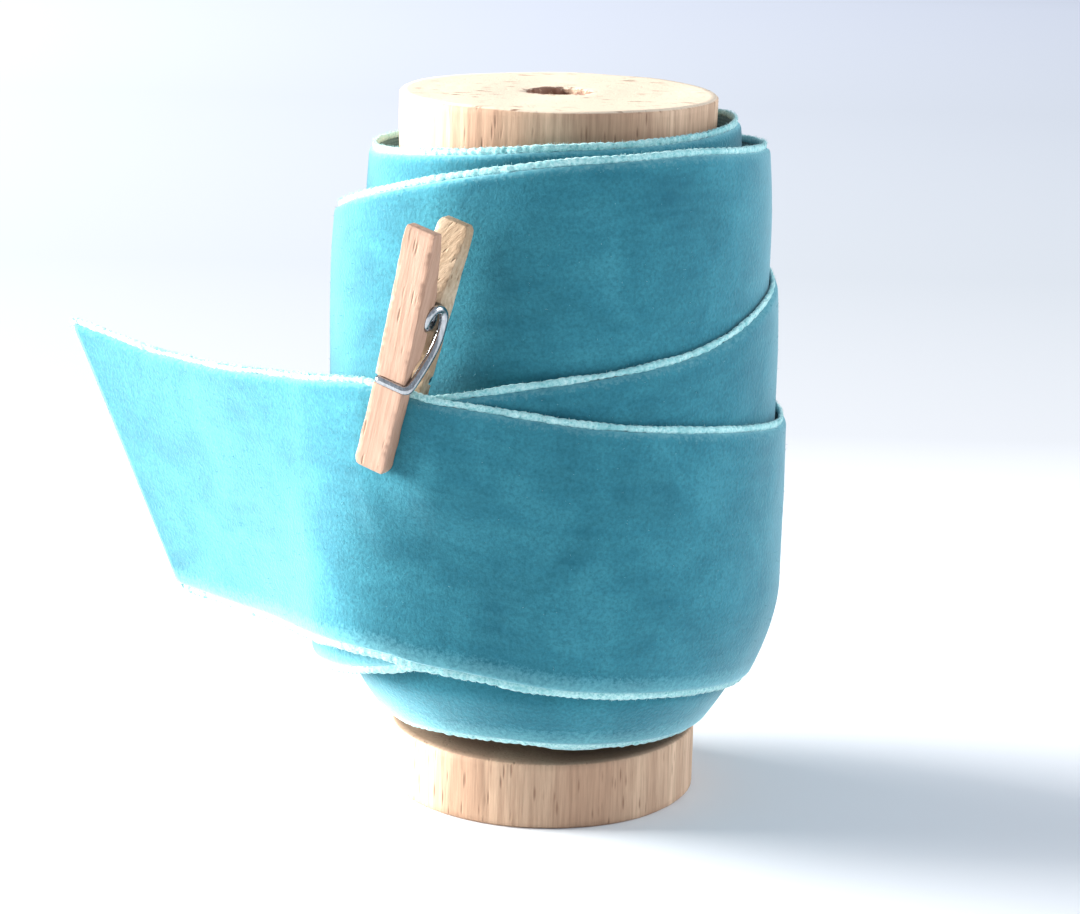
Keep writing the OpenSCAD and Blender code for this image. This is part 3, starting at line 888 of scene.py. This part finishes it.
def make_spring():
    """The wire as one tube: an arm, the coil and the other arm."""
    turn = np.linspace(COIL_START, math.pi - COIL_START - 3 * 2 * math.pi, COIL_STEPS + 1)
    coil = np.stack([np.linspace(-COIL_HALF, COIL_HALF, COIL_STEPS + 1),
                     COIL_R * np.cos(turn), COIL_R * np.sin(turn)], -1)
    middle = np.vstack([spring_arm(1)[::-1], coil, spring_arm(-1)])
    way = unit(np.gradient(middle, axis=0))
    side_way = np.zeros_like(way)
    side_way[0] = unit(np.cross(way[0], [0.0, 0.0, 1.0]))
    for i in range(1, len(way)):
        carried = side_way[i - 1] - way[i] * np.dot(side_way[i - 1], way[i])
        side_way[i] = unit(carried)
    other = np.cross(way, side_way)
    angle = np.linspace(0, 2 * math.pi, WIRE_SIDES, endpoint=False)[None, :, None]
    # the ends of the wire are nipped off with a small chamfer
    radius = np.full(len(middle), WIRE_D / 2)
    radius[[0, -1]] *= 0.78
    ring = middle[:, None] + radius[:, None, None] * (
        np.cos(angle) * side_way[:, None] + np.sin(angle) * other[:, None])
    spring = add_mesh("clip_wire_spring", ring.reshape(-1, 3) * MM,
                      tube_faces(len(middle), WIRE_SIDES), [drawn_steel()])
    spring.matrix_world = CLIP
    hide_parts("clip_spring")
    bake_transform(spring)


# ---------------------------------------------------------------- floor, light and camera
FLOOR_HALF = 4.0


def make_stage():
    """Paper with painted light: pale under the spool, darker just behind it and bluer far away, in
    place of the room's light falling off.
    """
    n = Nodes("paper_painted_falloff")
    depth = n.add("ShaderNodeSeparateXYZ", {"Vector": n.place}).outputs["Y"]
    # painted light and shade: the paper's tone changes with depth to stand in for the light falling
    # off
    painted_falloff_tone = n.ramp(depth, (0.06, (0.76, 0.77, 0.79)), (0.16, (0.47, 0.48, 0.50)),
                  (0.30, (0.42, 0.44, 0.47)), (0.57, (0.455, 0.48, 0.53)),
                  (0.90, (0.58, 0.61, 0.69)))
    paper = n.finish(Base_Color=painted_falloff_tone, Roughness=0.95, Specular_IOR_Level=0.0)
    corners = ((-1, -1), (1, -1), (1, 1), (-1, 1))
    points = [(x * FLOOR_HALF, y * FLOOR_HALF, 0.0) for x, y in corners]
    floor = add_mesh("floor", points, [[0, 1, 2, 3]], [paper], smooth=False)


def add_area(name, place, target, size, power, colour):
    """A rectangular light at a place, aimed at the target."""
    light = bpy.data.lights.new(name, "AREA")
    light.shape = "RECTANGLE"
    light.size, light.size_y = size
    light.energy = power
    light.color = colour
    lamp = bpy.data.objects.new(name, light)
    lamp.location = place
    lamp.rotation_euler = (Vector(target) - Vector(place)).to_track_quat("-Z", "Y").to_euler()
    bpy.context.scene.collection.objects.link(lamp)


def make_light():
    """A window at the left, a little behind, a weak fill at the right and a bluish room."""
    world = bpy.data.worlds.new("soft_room")
    world.use_nodes = True
    background = world.node_tree.nodes["Background"]
    background.inputs["Color"].default_value = (0.80, 0.88, 1.0, 1.0)
    background.inputs["Strength"].default_value = 0.55
    bpy.context.scene.world = world
    middle = (0.0, 0.0, 0.035)
    add_area("window", (-1.24, 0.27, 0.34), middle, (0.80, 0.80), 94.0, (1.0, 0.985, 0.96))
    add_area("right_fill", (0.75, 0.0, 0.35), middle, (0.6, 0.6), 5.0, (0.90, 0.95, 1.0))


def make_camera():
    """Long lens, a little above the top of the spool and tipped down."""
    camera = bpy.data.cameras.new("camera")
    camera.sensor_width = 36.0
    camera.lens = 98.6
    camera.clip_start = 0.01
    camera.clip_end = 20.0
    viewer = bpy.data.objects.new("camera", camera)
    tip = math.radians(14.12)
    roll = math.radians(1.49)
    right = Vector((1.0, 0.0, 0.0))
    ahead = Vector((0.0, math.cos(tip), -math.sin(tip)))
    up = Vector((0.0, math.sin(tip), math.cos(tip)))
    rolled_right = math.cos(roll) * right + math.sin(roll) * up
    rolled_up = math.cos(roll) * up - math.sin(roll) * right
    place = Matrix((rolled_right, rolled_up, -ahead)).transposed().to_4x4()
    place.translation = Vector((-0.985, -302.1, 111.4)) * MM
    viewer.matrix_world = place
    bpy.context.scene.collection.objects.link(viewer)
    bpy.context.scene.camera = viewer


make_camera()
make_stage()
make_light()
bpy.context.scene.view_settings.view_transform = "Standard"
make_spool()
make_ribbon()
make_leg("clip_leg_front", "clip_front_leg", "clip_front", 1, 41,
         beech("leg_beech", (0.525, 0.345, 0.255), (0.42, 0.255, 0.180), (0.26, 0.140, 0.080),
               1.3 * MM, 0.5))
make_leg("clip_leg_rear", "clip_rear_leg", "clip_rear", -1, 43,
         beech("leg_beech_slant", (0.64, 0.52, 0.38), (0.42, 0.30, 0.19), (0.24, 0.14, 0.07),
               1.0 * MM, 1.0, slant=28))
make_spring()
tape_materials = frame["nodes"]["start_tape"].data.materials
tape_materials.clear()
tape_materials.append(crepe_tape())
